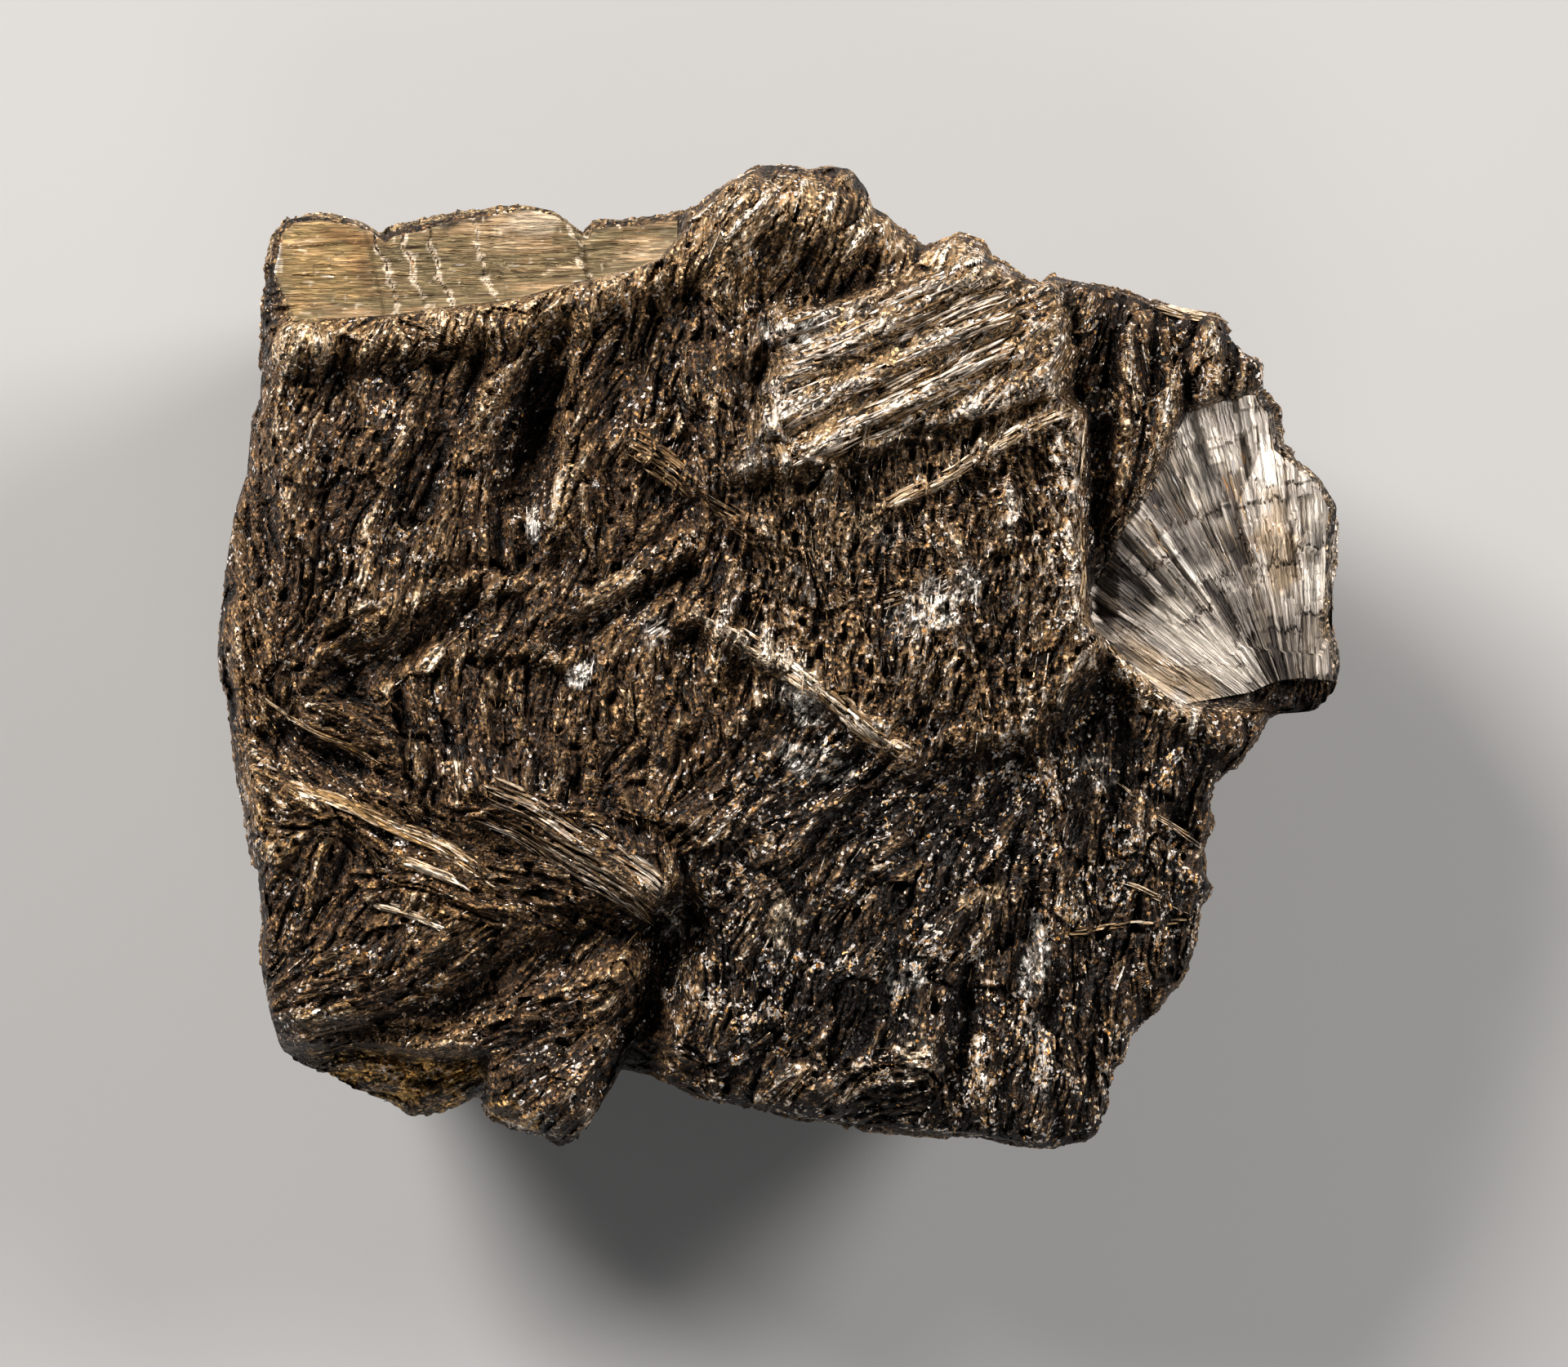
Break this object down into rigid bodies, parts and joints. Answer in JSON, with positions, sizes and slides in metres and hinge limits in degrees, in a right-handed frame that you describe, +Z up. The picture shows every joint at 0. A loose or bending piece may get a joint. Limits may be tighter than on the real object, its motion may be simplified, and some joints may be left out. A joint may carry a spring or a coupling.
{
  "type": "anthophyllite hand specimen",
  "caption": "Blocky hand specimen of fibrous brown anthophyllite, lying on its back with its intergrown blades facing up.",
  "frame": {"origin": "under the middle of the outline, on the plane that the specimen rests on", "axes": "+X along the longest side, +Y towards the crown and the cleavage slab, +Z up out of the display face"},
  "size_m": [0.0969, 0.0851, 0.04],
  "materials": {
    "fibrous_amphibole": "fibrous, vitreous to pearly"
  },
  "bodies": {
    "root": {"anthophyllite": "fibrous_amphibole"}
  },
  "joints": []
}
